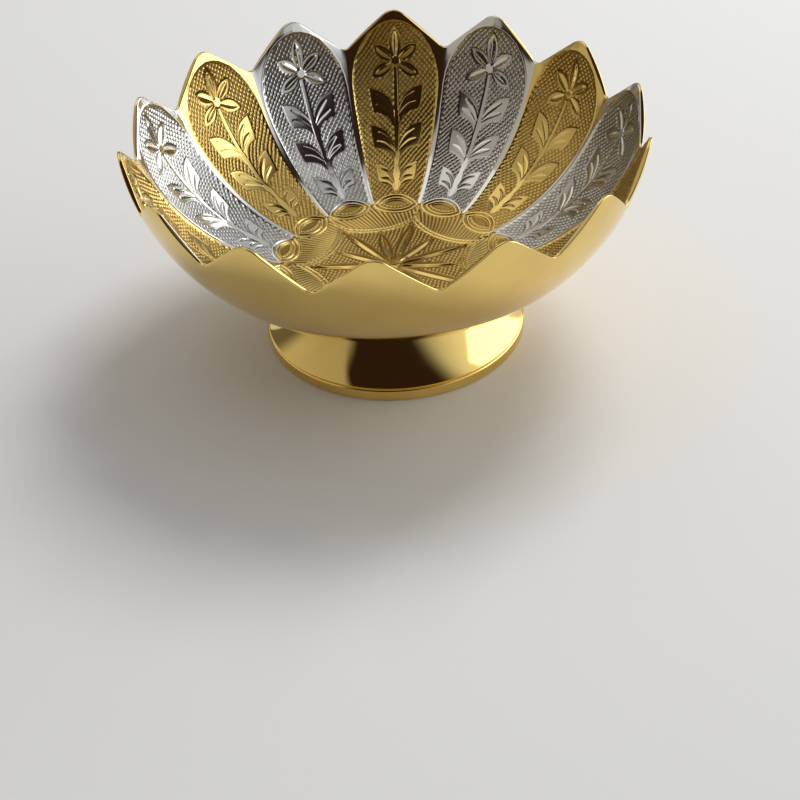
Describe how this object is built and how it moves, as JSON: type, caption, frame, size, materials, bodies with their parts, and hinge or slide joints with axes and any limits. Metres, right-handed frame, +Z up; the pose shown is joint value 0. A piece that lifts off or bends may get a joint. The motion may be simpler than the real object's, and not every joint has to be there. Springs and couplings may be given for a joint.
{
  "type": "offering bowl",
  "caption": "Open lotus-shaped metal offering bowl with alternating gold and silver petals, engraved inside, on a low flared foot ring.",
  "frame": {"origin": "centre of the foot's bottom face, on the bowl's axis", "axes": "+Z up along the bowl's axis; +Y toward the tip of one gold petal"},
  "size_m": [0.1122, 0.114, 0.0534],
  "materials": {
    "bowl_gold": "gold plate, polished outside and on the borders, hatched in the panels",
    "petal_silver": "silver plate, polished on the borders, hatched in the panels",
    "foot_gold": "gold plate, mirror polished",
    "solder": "dull brazing metal under thin plating"
  },
  "bodies": {
    "root": {"lotus_bowl": "bowl_gold", "silver_plating": "petal_silver", "foot_ring": "foot_gold", "solder_fillet": "solder"}
  },
  "joints": []
}
